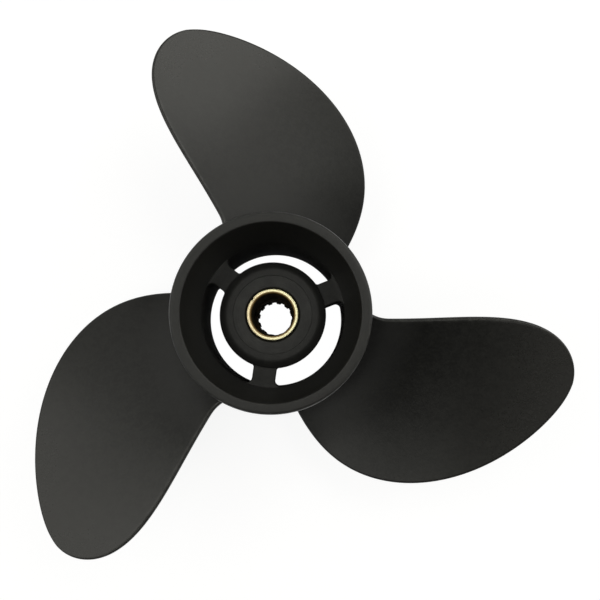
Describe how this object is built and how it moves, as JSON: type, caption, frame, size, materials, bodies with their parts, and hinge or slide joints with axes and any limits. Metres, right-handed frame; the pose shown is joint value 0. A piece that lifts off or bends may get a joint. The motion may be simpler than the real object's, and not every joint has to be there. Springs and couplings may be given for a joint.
{
  "type": "boat propeller",
  "caption": "Right-hand outboard boat propeller: ear-shaped blades on a flared barrel that leads the exhaust out around a ribbed hub with a rubber-cushioned splined brass sleeve.",
  "frame": {"origin": "on the shaft axis, in the plane of the barrel's forward end, where the forward register opens", "axes": "+Z along the shaft axis towards aft, out of the open mouth; +X to the right and +Y up as the picture shows the propeller from aft"},
  "size_m": [0.2014, 0.1968, 0.0738],
  "materials": {
    "casting": "satin",
    "cushion": "matte",
    "sleeve": "satin"
  },
  "bodies": {
    "shaft_sleeve": {"splined_sleeve": "sleeve"},
    "cushion": {"rubber_cushion": "cushion"},
    "casting": {"outer_barrel": "casting", "inner_hub": "casting", "rib_1": "casting", "rib_2": "casting", "rib_3": "casting", "blade_1": "casting", "blade_2": "casting", "blade_3": "casting"}
  },
  "joints": [
    {"name": "cushion_windup", "type": "hinge", "parent": "shaft_sleeve", "child": "cushion", "pos_m": [0, 0, 0.0318], "axis": [0, 0, 1], "range_deg": [-12, 12], "stiffness_Nm_per_rad": 190},
    {"name": "overload_slip", "type": "hinge", "parent": "cushion", "child": "casting", "pos_m": [0, 0, 0.0318], "axis": [0, 0, 1], "continuous": true}
  ]
}
